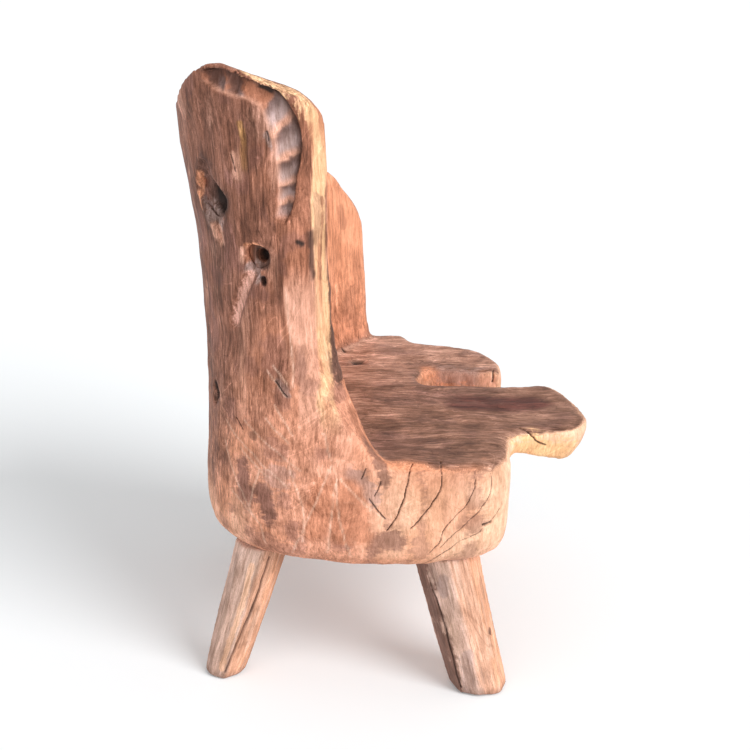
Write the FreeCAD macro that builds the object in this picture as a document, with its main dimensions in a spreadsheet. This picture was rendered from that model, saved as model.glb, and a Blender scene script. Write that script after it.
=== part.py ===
import FreeCAD, Part
import math
import os
import Sketcher
from FreeCAD import Vector

os.makedirs("parts", exist_ok=True)
doc = FreeCAD.newDocument("trunk_chair")

# Sizes in millimetres and degrees. X points to the front, Y to the sitter's left, Z up.
# A reach is measured outwards from the upright line through the middle of the chair.
SIZES = {
    "seat_height": 300,
    # Reach of the trunk at the height of the seat, and how much further forward its left corner is.
    "trunk_back": 219, "trunk_front": 145, "trunk_right": 209, "trunk_left": 215, "left_lead": 6,
    "rear_round": 140, "front_right_round": 54, "front_left_round": 40,
    # Heights of the trunk's levels above the seat.
    "base_rise": -128, "heel_rise": -110, "belly_rise": -63, "scoop_rise": 45,
    "waist_rise": 130, "shoulder_rise": 260, "head_rise": 400, "over_rise": 560,
    # How far every cut runs past the wood.
    "cut_margin": 14, "cut_reach": 420,
    # Top line of the back, drawn on a plane outside each flank: rear fall, ridge, wing corner.
    # It is level across the ledge over the right wing and slopes down from there to the left.
    "crown_plane": 260, "crown_ceiling": 1000, "crown_ledge": 46,
    "crown_ridge_inset": 9, "crown_ridge_round": 58, "crown_rear_fall": 190,
    "right_crown_top": 776, "right_crown_drop": 45, "right_crown_rim": 65,
    "right_crown_round": 72, "right_crown_step": 76,
    "left_crown_top": 536, "left_crown_drop": 52, "left_crown_rim": 21,
    "left_crown_round": 125, "left_crown_step": 112,
    # Tongue that overhangs the front of the block on the right.
    "lobe_tail": 60, "lobe_tail_inset": 69,
    "lobe_reach": 116, "lobe_tip_inset": 123, "lobe_tip_round": 36,
    "lobe_shoulder": 54, "lobe_left": 48, "lobe_shoulder_round": 28,
    "lobe_under_rise": 20, "lobe_under_angle": 17.6, "lobe_undercut": 8,
    # Notch between the two front lobes, and the flank hewn away beside the left one.
    "notch_right": 44, "notch_length": 104, "notch_end_width": 53, "notch_mouth_width": 18,
    "notch_round": 22,
    "flank_rear": 136, "flank_step": 110, "flank_step_inset": 25, "flank_step_round": 24,
    "flank_corner": 22, "flank_corner_inset": 51, "flank_corner_round": 45,
    "flank_tip": 21, "flank_tip_inset": 131,
    # Worn edge of the seat, found as the edges that keep to its level within a tolerance.
    "seat_wear": 6, "level_tolerance": 0.05,
    # Crescent gouged round the head of the right wing, gentle inside and steep outside.
    "groove_inset": 29, "groove_sink": 40, "groove_rise": 359, "groove_bend": 95,
    "groove_lip": 28, "groove_floor": 4, "groove_wall": 4, "groove_edge": 11,
    "groove_depth": 10, "groove_margin": 10,
    "groove_angle": -19, "groove_start_angle": -34, "groove_sweep_angle": 128,
    # Two knot holes below the crescent: place on the wing, depth, and shift of the floor.
    "upper_knot_inset": 14, "upper_knot_sink": 68, "upper_knot_rise": 311, "upper_knot_angle": -53,
    "upper_knot_depth": 26, "upper_knot_shift": 13,
    "lower_knot_inset": 73, "lower_knot_sink": 26, "lower_knot_rise": 251, "lower_knot_angle": -25,
    "lower_knot_depth": 25, "lower_knot_shift": 5,
    "knot_shrink": 0.4,
    # Hewn legs and their blind joints. The angle is the way a foot points in plan.
    "front_right_setback": 76, "front_right_inset": 55, "front_right_angle": -40, "front_right_tilt": 18,
    "front_left_setback": 76, "front_left_inset": 65, "front_left_angle": 46, "front_left_tilt": 17,
    "rear_right_setback": 68, "rear_right_inset": 75, "rear_right_angle": -155, "rear_right_tilt": 18,
    "rear_left_setback": 76, "rear_left_inset": 77, "rear_left_angle": 122, "rear_left_tilt": 17,
    "front_foot_radius": 35, "front_leg_radius": 40, "front_tenon_radius": 28,
    "rear_foot_radius": 25, "rear_leg_radius": 33, "rear_tenon_radius": 24,
    "tenon_length": 78, "tenon_root": 24, "leg_spare": 16, "facet_count": 8,
    "joint_clearance": 0.2, "mortise_end_gap": 2,
    "wedge_head": 7, "wedge_edge": 1.4, "wedge_length": 46, "wedge_margin": 2.5, "wedge_gap": 0.3,
}

# Swell of the trunk at each level beyond its reach at the seat: back, front, right, left.
SWELLS = {
    "base": (-12, -16, -16, -16),
    "heel": (-1, -4, -4, -5),
    "belly": (3, -1, 1, -1),
    "seat": (0, 0, 0, 0),
    "waist": (-1, -2, -7, -1),
    "shoulder": (9, -4, -12, -4),
    "head": (28, -6, -16, -8),
    "over": (42, -8, -20, -12),
}

# Shell left round the hollow of the back at each level: back wall and round of the hollow, then the
# right wall with its rim's setback and lean, then the left wall with its rim's setback.
SHELLS = {
    "seat": (64, 150, 43, 11, -0.35, 11, 22),
    "scoop": (42, 130, 43, 31, 0.3, 11, 27),
    "waist": (23, 110, 36, 55, 0.85, 11, 30),
    "shoulder": (20, 105, 32, 66, 1, 10, 38),
    "head": (23, 105, 30, 68, 1, 9, 47),
    "over": (24, 105, 29, 69, 1, 8, 53),
}
SHELL_WORDS = ("back_wall", "round", "right_wall", "right_rim", "rim_lean", "left_wall", "left_rim")

# Rims of the knot holes, corner by corner: across and up from the middle of the hole.
KNOTS = {
    "upper_knot": ((-4, 38), (-25, 16), (-22, -16), (21, -33), (36, 0)),
    "lower_knot": ((-15, 14), (-17, -5), (3, -16), (14, 2), (12, 15)),
}

for level, swells in SWELLS.items():
    for word, swell in zip(("back", "front", "right", "left"), swells):
        SIZES[f"{level}_{word}_swell"] = swell
for level, values in SHELLS.items():
    for word, value in zip(SHELL_WORDS, values):
        SIZES[f"{level}_{word}"] = value
for knot, corners in KNOTS.items():
    for number, (across, up) in enumerate(corners, 1):
        SIZES[f"{knot}_across_{number}"] = across
        SIZES[f"{knot}_up_{number}"] = up

sheet = doc.addObject("Spreadsheet::Sheet", "Sizes")
for row, (name, value) in enumerate(SIZES.items(), 1):
    sheet.set(f"A{row}", name)
    sheet.set(f"B{row}", str(value))
    sheet.setAlias(f"B{row}", name)
doc.recompute()


def rounded_outline(name, corners):
    """A closed sketch through the given corners, each (x, y) or (x, y, round) as expressions."""
    sketch = doc.addObject("Sketcher::SketchObject", name)
    points = [Vector(*(sheet.evalExpression(text) for text in corner[:2]), 0) for corner in corners]
    count = len(corners)
    marks, entries, exits, arcs = [], [], [], []
    for index, corner in enumerate(corners):
        point = points[index]
        marks.append(sketch.addGeometry(Part.Point(point), True))
        if len(corner) == 2:
            entries.append(point)
            exits.append(point)
            arcs.append(None)
            continue
        radius = sheet.evalExpression(corner[2])
        toward_last = (points[index - 1] - point).normalize()
        toward_next = (points[(index + 1) % count] - point).normalize()
        half = toward_last.getAngle(toward_next) / 2
        centre = point + (toward_last + toward_next).normalize() * (radius / math.sin(half))
        entries.append(point + toward_last * (radius / math.tan(half)))
        exits.append(point + toward_next * (radius / math.tan(half)))
        turns_left = toward_last.cross(toward_next).z < 0
        first, last = (entries[-1], exits[-1]) if turns_left else (exits[-1], entries[-1])
        start = math.atan2(first.y - centre.y, first.x - centre.x)
        end = math.atan2(last.y - centre.y, last.x - centre.x)
        circle = Part.Circle(centre, Vector(0, 0, 1), radius)
        arc = sketch.addGeometry(Part.ArcOfCircle(circle, start, end))
        arcs.append((arc, 1, 2) if turns_left else (arc, 2, 1))
    sides = [sketch.addGeometry(Part.LineSegment(exits[index], entries[(index + 1) % count]))
             for index in range(count)]
    for index, corner in enumerate(corners):
        mark, before, after = marks[index], sides[index - 1], sides[index]
        for axis, text, place in zip("XY", corner, (points[index].x, points[index].y)):
            rule = sketch.addConstraint(Sketcher.Constraint("Distance" + axis, -1, 1, mark, 1, place))
            sketch.setExpression(f"Constraints[{rule}]", text)
        if arcs[index] is None:
            sketch.addConstraint(Sketcher.Constraint("Coincident", before, 2, mark, 1))
            sketch.addConstraint(Sketcher.Constraint("Coincident", after, 1, mark, 1))
            continue
        arc, entry, leave = arcs[index]
        sketch.addConstraint(Sketcher.Constraint("PointOnObject", mark, 1, before))
        sketch.addConstraint(Sketcher.Constraint("PointOnObject", mark, 1, after))
        sketch.addConstraint(Sketcher.Constraint("Tangent", before, 2, arc, entry))
        sketch.addConstraint(Sketcher.Constraint("Tangent", arc, leave, after, 1))
        radius = sketch.Geometry[arc].Radius
        rule = sketch.addConstraint(Sketcher.Constraint("Radius", arc, radius))
        sketch.setExpression(f"Constraints[{rule}]", corner[2])
    return sketch


def height_of(level):
    return "Sizes.seat_height" if level == "seat" else f"(Sizes.seat_height + Sizes.{level}_rise)"


def reach_of(level, way):
    return f"(Sizes.trunk_{way} + Sizes.{level}_{way}_swell)"


def loft(name, sections, ruled=False):
    solid = doc.addObject("Part::Loft", name)
    solid.Sections = sections
    solid.Solid = True
    solid.Ruled = ruled
    solid.MaxDegree = 3
    return solid


def boolean(kind, name, base, tool):
    result = doc.addObject("Part::" + kind, name)
    result.Base = base
    result.Tool = tool
    return result


# The trunk: one loft from the rounded underside of the seat block to above the back.
trunk_sections = []
for level in SWELLS:
    back, front = f"-{reach_of(level, 'back')}", reach_of(level, "front")
    right, left = f"-{reach_of(level, 'right')}", reach_of(level, "left")
    section = rounded_outline(f"trunk_{level}", [
        (back, right, "Sizes.rear_round"),
        (front, right, "Sizes.front_right_round"),
        (f"{front} + Sizes.left_lead", left, "Sizes.front_left_round"),
        (back, left, "Sizes.rear_round"),
    ])
    section.setExpression("Placement.Base.z", height_of(level))
    trunk_sections.append(section)
trunk = loft("trunk", trunk_sections)

# The hollow: a rounded V that flares into the seat and leaves both wing rims standing.
hollow_sections = []
for level in SHELLS:
    outer = "seat" if level == "scoop" else level
    back, right, left = (reach_of(outer, way) for way in ("back", "right", "left"))
    facet = f"(Sizes.{level}_right_wall + Sizes.cut_margin)"
    section = rounded_outline(f"hollow_{level}", [
        (f"Sizes.{level}_back_wall - {back}", "0", f"Sizes.{level}_round"),
        (f"-Sizes.{level}_right_rim", f"Sizes.{level}_right_wall - {right}"),
        (f"-Sizes.{level}_right_rim - Sizes.{level}_rim_lean * {facet}", f"-{right} - Sizes.cut_margin"),
        ("Sizes.cut_reach", f"-{right} - 2 * Sizes.cut_margin"),
        ("Sizes.cut_reach", f"{left} + Sizes.cut_margin"),
        (f"-Sizes.{level}_left_rim", f"{left} + Sizes.cut_margin"),
        (f"-Sizes.{level}_left_rim", f"{left} - Sizes.{level}_left_wall"),
    ])
    section.setExpression("Placement.Base.z", height_of(level))
    hollow_sections.append(section)
hollow = loft("hollow", hollow_sections)

# The crown: what is sawn off above the sloping top line and the rounded front corners of the wings.
crown_sections = []
for name, side, plane in (("right", "right", "-Sizes.crown_plane"),
                          ("ledge", "right", "Sizes.crown_ledge - Sizes.trunk_right"),
                          ("left", "left", "Sizes.crown_plane")):
    top = f"Sizes.{side}_crown_top"
    rim = f"-Sizes.{side}_crown_rim"
    corner = f"{top} - Sizes.{side}_crown_drop"
    step = f"{corner} - Sizes.{side}_crown_step"
    section = rounded_outline(f"crown_{name}", [
        ("-Sizes.cut_reach", f"{top} - Sizes.crown_rear_fall"),
        ("Sizes.crown_ridge_inset - Sizes.trunk_back", top, "Sizes.crown_ridge_round"),
        (rim, corner, f"Sizes.{side}_crown_round"),
        (rim, step),
        ("Sizes.cut_reach", step),
        ("Sizes.cut_reach", "Sizes.crown_ceiling"),
        ("-Sizes.cut_reach", "Sizes.crown_ceiling"),
    ])
    section.Placement.Rotation = FreeCAD.Rotation(Vector(1, 0, 0), 90)
    section.setExpression("Placement.Base.y", plane)
    crown_sections.append(section)
crown = loft("crown", crown_sections, ruled=True)

# The tongue on the right: level on top, drooping and narrower underneath.
lobe_tip = "Sizes.trunk_front + Sizes.lobe_reach"
lobe_sections = []
for face, inset in (("top", "0"), ("under", "Sizes.lobe_undercut")):
    section = rounded_outline(f"lobe_{face}", [
        ("Sizes.trunk_front - Sizes.lobe_tail", f"Sizes.lobe_tail_inset - Sizes.trunk_right + {inset}"),
        (f"{lobe_tip} - {inset}", f"Sizes.lobe_tip_inset - Sizes.trunk_right + {inset}",
         "Sizes.lobe_tip_round"),
        (f"Sizes.trunk_front + Sizes.lobe_shoulder - {inset}", f"Sizes.lobe_left - {inset}",
         "Sizes.lobe_shoulder_round"),
        ("Sizes.trunk_front - Sizes.lobe_tail", f"Sizes.lobe_left - {inset}"),
    ])
    lobe_sections.append(section)
lobe_sections[0].setExpression("Placement.Base.z", "Sizes.seat_height")
lobe_sections[1].setExpression(
    "Placement", "placement(vector(0; 0; Sizes.seat_height + Sizes.lobe_under_rise);"
    " rotation(vector(0; 1; 0); Sizes.lobe_under_angle))")
lobe = loft("lobe", lobe_sections, ruled=True)


def upright_cut(name, corners):
    """A straight cut from the floor to just above the seat."""
    cut = doc.addObject("Part::Extrusion", name)
    cut.Base = rounded_outline(name + "_outline", corners)
    cut.DirMode = "Custom"
    cut.Dir = Vector(0, 0, 1)
    cut.Solid = True
    cut.setExpression("LengthFwd", "Sizes.seat_height + Sizes.cut_margin")
    return cut


mouth = f"{lobe_tip} + Sizes.cut_margin"
notch_end = "Sizes.trunk_front - Sizes.notch_length"
notch = upright_cut("notch", [
    (mouth, "Sizes.notch_right"),
    (mouth, "Sizes.notch_right + Sizes.notch_mouth_width"),
    (notch_end, "Sizes.notch_right + Sizes.notch_end_width", "Sizes.notch_round"),
    (notch_end, "Sizes.notch_right", "Sizes.notch_round"),
])
flank = upright_cut("flank", [
    ("Sizes.trunk_front - Sizes.flank_rear", "Sizes.crown_plane"),
    ("Sizes.trunk_front - Sizes.flank_step", "Sizes.trunk_left - Sizes.flank_step_inset",
     "Sizes.flank_step_round"),
    ("Sizes.trunk_front - Sizes.flank_corner", "Sizes.trunk_left - Sizes.flank_corner_inset",
     "Sizes.flank_corner_round"),
    ("Sizes.trunk_front + Sizes.flank_tip", "Sizes.trunk_left - Sizes.flank_tip_inset"),
    (mouth, "Sizes.trunk_left - Sizes.flank_tip_inset"),
    (mouth, "Sizes.crown_plane"),
])

hollowed = boolean("Cut", "hollowed", trunk, hollow)
crowned = boolean("Cut", "crowned", hollowed, crown)
lobed = boolean("Fuse", "lobed", crowned, lobe)
notched = boolean("Cut", "notched", lobed, notch)
carved = boolean("Cut", "carved", notched, flank)

# The open edge of the seat, worn off: every side of its level face that drops away.
worn = doc.addObject("PartDesign::Body", "worn")
worn.BaseFeature = carved
doc.recompute()
worn_edge = worn.newObject("PartDesign::Chamfer", "worn_edge")
blank = worn_edge.BaseFeature.Shape
dropping = []
for number, edge in enumerate(blank.Edges, 1):
    ends = (edge.BoundBox.ZMin, edge.BoundBox.ZMax)
    if max(abs(end - sheet.seat_height) for end in ends) > sheet.level_tolerance:
        continue
    sides = blank.ancestorsOfType(edge, Part.Face)
    if min(face.CenterOfMass.z for face in sides) < sheet.seat_height - sheet.level_tolerance:
        dropping.append(f"Edge{number}")
worn_edge.Base = (worn_edge.BaseFeature, dropping)
worn_edge.setExpression("Size", "Sizes.seat_wear")
doc.recompute()


def slab(name, height):
    """A broad block whose underside lies at the given height."""
    block = doc.addObject("Part::Box", name)
    block.setExpression("Length", "2 * Sizes.cut_reach")
    block.setExpression("Width", "2 * Sizes.cut_reach")
    block.setExpression("Height", "Sizes.cut_reach")
    block.setExpression("Placement.Base", f"vector(-Sizes.cut_reach; -Sizes.cut_reach; {height})")
    return block


underside = height_of("base")
floor = slab("floor", "-Sizes.cut_reach")
shoulder_line = slab("shoulder_line", f"{underside} - Sizes.joint_clearance")


def moved(place, height, axis="1; 0; 0", angle="0"):
    """A place on the axis of a leg, at a height along it and turned about its own axis."""
    return f"{place} * placement(vector(0; 0; {height}); rotation(vector({axis}); {angle}))"


def tapered_slot(name, place, spread, half_width):
    """A wedge standing edge down at a place, grown by a spread on both flat faces."""
    slot = doc.addObject("Part::Wedge", name)
    slot.setExpression("Xmin", f"-Sizes.wedge_edge / 2 - {spread}")
    slot.setExpression("Xmax", f"Sizes.wedge_edge / 2 + {spread}")
    slot.setExpression("X2min", f"-Sizes.wedge_head / 2 - {spread}")
    slot.setExpression("X2max", f"Sizes.wedge_head / 2 + {spread}")
    for end in ("Z", "Z2"):
        slot.setExpression(f"{end}min", f"-({half_width})")
        slot.setExpression(f"{end}max", half_width)
    slot.setExpression("Ymin", "0")
    slot.setExpression("Ymax", "Sizes.wedge_length")
    edge = "Sizes.tenon_length + Sizes.mortise_end_gap - Sizes.wedge_gap - Sizes.wedge_length"
    slot.setExpression("Placement", moved(place, edge, angle="90"))
    return slot


def round_pin(name, place, length, radius):
    """A cylinder along the axis of a leg, from the root of the tenon upwards."""
    pin = doc.addObject("Part::Cylinder", name)
    pin.setExpression("Radius", radius)
    pin.setExpression("Height", length)
    pin.setExpression("Placement", moved(place, "-Sizes.tenon_root"))
    return pin


def joined_leg(pair, side, x, y):
    """A hewn leg with a round tenon, the wedge in its end and the mortise that takes both."""
    name = f"{pair}_{side}"
    size = f"Sizes.{pair}"
    angle, tilt = f"Sizes.{name}_angle", f"Sizes.{name}_tilt"
    place = (f"placement(vector({x}; {y}; {underside});"
             f" rotation(vector(sin({angle}); -cos({angle}); 0); {tilt}))")

    # The leg below the block: hewn to flats, tapering to the foot and cut level under the block.
    below = f"-({underside} / cos({tilt}) + Sizes.leg_spare)"
    rings = []
    for end, height in (("foot", below), ("leg", "Sizes.leg_spare")):
        ring = doc.addObject("Part::RegularPolygon", f"{name}_{end}_flats")
        ring.setExpression("Polygon", "Sizes.facet_count")
        ring.setExpression("Circumradius", f"{size}_{end}_radius")
        ring.setExpression("Placement", moved(place, height))
        rings.append(ring)
    hewn = loft(f"{name}_hewn", rings, ruled=True)
    shouldered = boolean("Cut", f"{name}_shouldered", hewn, shoulder_line)

    # The tenon in its mortise, split at the end by a wedge that bears on the bottom of the mortise.
    reach = "Sizes.tenon_root + Sizes.tenon_length"
    radius = f"{size}_tenon_radius"
    tenon = round_pin(f"{name}_tenon", place, reach, radius)
    mortise = round_pin(f"{name}_mortise", place, f"{reach} + Sizes.mortise_end_gap",
                        f"{radius} + Sizes.joint_clearance")
    kerf = tapered_slot(f"{name}_kerf", place, "Sizes.joint_clearance", f"{radius} + Sizes.cut_margin")
    wedge = tapered_slot(f"{name}_wedge", place, "0", f"{radius} - Sizes.wedge_margin")
    whole = boolean("Fuse", f"{name}_whole", shouldered, tenon)
    split = boolean("Cut", f"{name}_split", whole, kerf)
    return boolean("Cut", f"{name}_leg", split, floor), wedge, mortise


legs, wedges, mortises = [], [], []
for pair, front in (("front", True), ("rear", False)):
    for side, right in (("right", True), ("left", False)):
        setback, inset = f"Sizes.{pair}_{side}_setback", f"Sizes.{pair}_{side}_inset"
        leg, wedge, mortise = joined_leg(
            pair, side,
            f"Sizes.trunk_front - {setback}" if front else f"{setback} - Sizes.trunk_back",
            f"{inset} - Sizes.trunk_right" if right else f"Sizes.trunk_left - {inset}")
        legs.append(leg)
        wedges.append(wedge)
        mortises.append(mortise)


def wing_place(mark):
    """A place on the outside of the right wing, its X across the wing and its Y into the wood."""
    return (f"placement(vector(Sizes.{mark}_inset - Sizes.trunk_back; Sizes.{mark}_sink - Sizes.trunk_right;"
            f" Sizes.seat_height + Sizes.{mark}_rise); rotation(vector(0; 0; 1); Sizes.{mark}_angle))")


# The gouged crescent: its cross-section swept round a point on the wing.
groove = doc.addObject("Part::Revolution", "groove")
groove.Source = rounded_outline("groove_section", [
    ("Sizes.groove_bend - Sizes.groove_lip", "Sizes.groove_margin"),
    ("Sizes.groove_bend - Sizes.groove_floor", "-Sizes.groove_depth"),
    ("Sizes.groove_bend + Sizes.groove_wall", "-Sizes.groove_depth"),
    ("Sizes.groove_bend + Sizes.groove_edge", "Sizes.groove_margin"),
])
groove.Axis = Vector(0, 1, 0)
groove.Solid = True
groove.setExpression("Angle", "Sizes.groove_sweep_angle")
groove.setExpression("Placement", moved(
    moved(wing_place("groove"), "0", angle="180"), "0", "0; 1; 0", "Sizes.groove_start_angle"))

# The knot holes: each narrows from its rim to a floor that lies deeper to one side.
knots = []
for knot, corners in KNOTS.items():
    rings = []
    for end, scale, shift, depth in (("rim", "1", "0", "Sizes.cut_margin"),
                                     ("floor", "Sizes.knot_shrink", f"Sizes.{knot}_shift",
                                      f"-Sizes.{knot}_depth")):
        ring = rounded_outline(f"{knot}_{end}", [
            (f"{shift} + {scale} * Sizes.{knot}_across_{number}", f"{scale} * Sizes.{knot}_up_{number}")
            for number in range(1, len(corners) + 1)])
        upright = moved(wing_place(knot), "0", angle="90")
        ring.setExpression("Placement", moved(upright, depth))
        rings.append(ring)
    knots.append(loft(f"{knot}_hole", rings, ruled=True))

cuts = doc.addObject("Part::MultiFuse", "cuts")
cuts.Shapes = mortises + knots + [groove]
trunk_body = boolean("Cut", "trunk_body", worn, cuts)
doc.recompute()

# Every object must be sound before its file is written.
for thing in doc.Objects:
    if "Invalid" in thing.State or "Error" in thing.State:
        raise RuntimeError(f"{thing.Label} is not sound: {thing.State}")
for piece in [trunk_body] + legs + wedges:
    if piece.Shape.isNull() or not piece.Shape.isValid() or len(piece.Shape.Solids) != 1:
        raise RuntimeError(f"{piece.Label} is not one valid solid")
    piece.Shape.exportStep(f"parts/{piece.Label}.step")
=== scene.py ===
import math

import bmesh
import bpy
import numpy as np
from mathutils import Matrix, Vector


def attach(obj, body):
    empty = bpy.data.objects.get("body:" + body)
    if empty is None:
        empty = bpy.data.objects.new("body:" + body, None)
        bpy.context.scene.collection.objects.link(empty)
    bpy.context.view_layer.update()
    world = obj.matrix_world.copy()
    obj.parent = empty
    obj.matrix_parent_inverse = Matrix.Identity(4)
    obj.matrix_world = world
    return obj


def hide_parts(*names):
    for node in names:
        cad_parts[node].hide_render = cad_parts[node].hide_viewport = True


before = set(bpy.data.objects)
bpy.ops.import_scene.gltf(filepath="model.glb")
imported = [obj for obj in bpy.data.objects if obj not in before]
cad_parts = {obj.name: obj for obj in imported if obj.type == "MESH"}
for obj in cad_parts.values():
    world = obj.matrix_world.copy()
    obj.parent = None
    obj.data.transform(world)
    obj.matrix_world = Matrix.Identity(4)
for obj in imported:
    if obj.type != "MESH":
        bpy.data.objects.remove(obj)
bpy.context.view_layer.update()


# The trunk: one length of old hardwood log, hewn outside with an adze and hollowed with a gouge.
# Back, wings, seat, lobes and block are all the same wood, so it is worked here as one piece:
# an even skin over the solid first, then wear, tool marks, cracks, stains and painted shade and light in
# turn.
SKIN = 0.0041
SAME_POINT = 0.00002


def on_bench(node):
    """The node's own shape, its loose triangles joined up, ready to be worked."""
    work = bmesh.new()
    work.from_mesh(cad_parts[node].data)
    bmesh.ops.remove_doubles(work, verts=work.verts, dist=SAME_POINT)
    return work


def off_bench(work, node):
    """What became of the node's shape, as a mesh of its own."""
    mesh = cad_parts[node].data.copy()
    work.to_mesh(mesh)
    work.free()
    return mesh


def in_scene(name, data):
    """A new object in the scene, at the origin."""
    thing = bpy.data.objects.new(name, data)
    bpy.context.scene.collection.objects.link(thing)
    return thing


def even_skin(node, name, spacing):
    """The node's own shape under small even faces."""
    piece = in_scene(name, off_bench(on_bench(node), node))
    remesh = piece.modifiers.new("skin", "REMESH")
    remesh.mode = "VOXEL"
    remesh.voxel_size = spacing
    graph = bpy.context.evaluated_depsgraph_get()
    skin = bpy.data.meshes.new_from_object(piece.evaluated_get(graph))
    piece.modifiers.clear()
    skin.materials.clear()
    skin.name = name
    piece.data = skin
    return piece


trunk = even_skin("trunk_body", "carved_trunk", SKIN)
mesh = trunk.data


def read(mesh, what="co"):
    values = np.empty(len(mesh.vertices) * 3, np.float32)
    mesh.vertices.foreach_get(what, values)
    return values.reshape(-1, 3).astype(float)


def write(mesh, points):
    mesh.vertices.foreach_set("co", points.astype(np.float32).ravel())
    mesh.update()


def neighbours(mesh):
    ends = np.empty(len(mesh.edges) * 2, np.int32)
    mesh.edges.foreach_get("vertices", ends)
    return ends.reshape(-1, 2)


def ramp(value, low, high):
    """0 below low and 1 above high, with an eased rise between."""
    part = np.clip((value - low) / (high - low), 0, 1)
    return part * part * (3 - 2 * part)


def fall(value, low, high):
    """1 below low and 0 above high, with an eased fall between."""
    return ramp(-value, -high, -low)


LINE_REACH = 0.06
SAME_FACE = 0.015


def from_line(points, line, facing=None):
    """How far each point is from a line drawn in mm, up to LINE_REACH.

    Where the way the surface faces is given, it is measured over the surface, as long as the
    line is within SAME_FACE of the surface there.
    """
    line = np.array(line, float) / 1000
    if len(line) == 1:
        line = np.repeat(line, 2, axis=0)
    best = np.full(len(points), LINE_REACH)
    near = ((points > line.min(axis=0) - LINE_REACH) & (points < line.max(axis=0) + LINE_REACH)).all(axis=1)
    points = points[near]
    for begin, end in zip(line[:-1], line[1:]):
        step = end - begin
        part = np.clip((points - begin) @ step / max(step @ step, 1e-12), 0, 1)
        offset = points - begin - part[:, None] * step
        away = np.linalg.norm(offset, axis=1)
        if facing is not None:
            level = (offset * facing[near]).sum(axis=1)
            flat = np.sqrt(np.maximum(away**2 - level**2, 0))
            away = np.where(np.abs(level) < SAME_FACE, flat, away)
        best[near] = np.minimum(best[near], away)
    return best


def beside(points, line, full, none, facing=None):
    """1 out to full from a line, falling to 0 at none from it."""
    return fall(from_line(points, line, facing), full, none)


def worn(values, edges, rounds, share):
    """Each point drawn towards its neighbours, which wears arrises round."""
    first, second = edges.T
    number = len(values)
    count = np.maximum(np.bincount(edges.ravel(), minlength=number), 1)[:, None]
    share = np.broadcast_to(share, number)[:, None]
    for _ in range(rounds):
        total = [np.bincount(first, column[second], number) + np.bincount(second, column[first], number)
                 for column in values.T]
        values = values + share * (np.stack(total, axis=1) / count - values)
    return values


# Long handling has rounded the seat's near edge and the tongue far more than the rest.
WEAR = 0.5
WEAR_ROUNDS = 5
SEAT_EDGE_ROUNDS = 32
SEAT_EDGE = [(-15, -207, 300), (60, -209, 300), (100, -207, 300), (135, -190, 300), (146, -156, 300),
             (150, -120, 300), (190, -106, 300), (222, -92, 300), (242, -60, 300), (243, 10, 300),
             (230, 42, 300), (205, 60, 300), (170, 66, 300)]
MORTISES = [[(69, -154, 260), (112, -190, 0)], [(69, 150, 260), (105, 188, 0)],
            [(-151, -134, 260), (-201, -158, 0)], [(-143, 138, 260), (-171, 182, 0)]]
JOINT_KEPT = 0.030
JOINT_CLEAR = 0.048


def off_joints(points):
    """0 round the mortises, so that each tenon still fits its own, and 1 clear of them."""
    away = np.min([from_line(points, line) for line in MORTISES], axis=0)
    return ramp(away, JOINT_KEPT, JOINT_CLEAR)


points = read(mesh)
edges = neighbours(mesh)
wearing = WEAR * off_joints(points)
points = worn(points, edges, WEAR_ROUNDS, wearing)
points = worn(points, edges, SEAT_EDGE_ROUNDS, wearing * beside(points, SEAT_EDGE, full=0.008, none=0.032))
write(mesh, points)

# Cracks that opened as the log dried, and slips of the knife: half width, depth in mm, and course.
CRACKS = [
    (0.65, 4.0, [(28, -192, 300), (26, -200, 296), (23, -209, 280), (14, -210, 244), (-1, -209, 220)]),
    (0.6, 3.0, [(61, -187, 300), (62, -205, 292), (62, -209, 275), (43, -210, 241), (27, -209, 224)]),
    (0.45, 2.0, [(101, -200, 298), (101, -209, 264), (66, -209, 225), (63, -208, 209), (50, -205, 191)]),
    (0.45, 1.6, [(122, -200, 292), (121, -201, 261), (85, -209, 222), (62, -207, 199)]),
    (0.45, 1.6, [(133, -190, 240), (122, -199, 228), (76, -207, 198), (39, -194, 173)]),
    (1.6, 5.0, [(122, -199, 226), (113, -204, 225)]),
    (0.7, 2.0, [(-22, -210, 262), (-14, -210, 250), (-4, -209, 236)]),
    (0.6, 1.6, [(-8, -209, 285), (-15, -210, 265)]),
    (0.6, 1.6, [(-25, -209, 300), (-31, -209, 288)]),
    (0.9, 3.5, [(160, -93, 300), (177, -108, 296), (181, -106, 287), (192, -101, 281)]),
    (0.9, 3.0, [(139, 91, 300), (136, 83, 285)]),
    (0.9, 2.5, [(-130, -192, 404), (-116, -199, 387)]),
    (2.4, 6.0, [(-143, -185, 526), (-142, -186, 520)]),
    (0.8, 2.0, [(-177, -165, 346), (-169, -173, 335)]),
    (2.8, 0.6, [(-101, -196, 575), (-97, -196, 573)]),
    (4.2, 9.0, [(-205, -124, 370), (-202, -129, 363), (-205, -123, 351)]),
    (2.6, 5.0, [(-207, -120, 366), (-203, -127, 364), (-201, -131, 362)]),
    (0.8, 2.0, [(-134, -190, 698), (-132, -191, 688)]),
    (0.7, 2.0, [(-176, -173, 668), (-171, -175, 649)]),
    (6.0, 5.0, [(-39, 115, 300), (-35, 115, 300)]),
    (2.0, 3.0, [(-57, 149, 304), (-54, 148, 303)]),
    (0.8, 3.0, [(-225, -20, 640), (-228, -14, 560), (-226, -22, 470), (-222, -16, 400)]),
    (0.7, 2.5, [(-205, 90, 470), (-206, 96, 400), (-203, 92, 330)]),
    (0.8, 3.0, [(-60, 214, 420), (-56, 214, 350), (-64, 213, 270)]),
]

# A strip of pale sapwood left along the rim of the right wing.
SAPWOOD = [(-80, -176, 709), (-76, -173, 685), (-76, -173, 651), (-80, -177, 617), (-80, -178, 582),
           (-79, -178, 547), (-75, -176, 510), (-73, -178, 474), (-72, -183, 439), (-69, -191, 405),
           (-70, -205, 380), (-64, -207, 350)]

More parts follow.
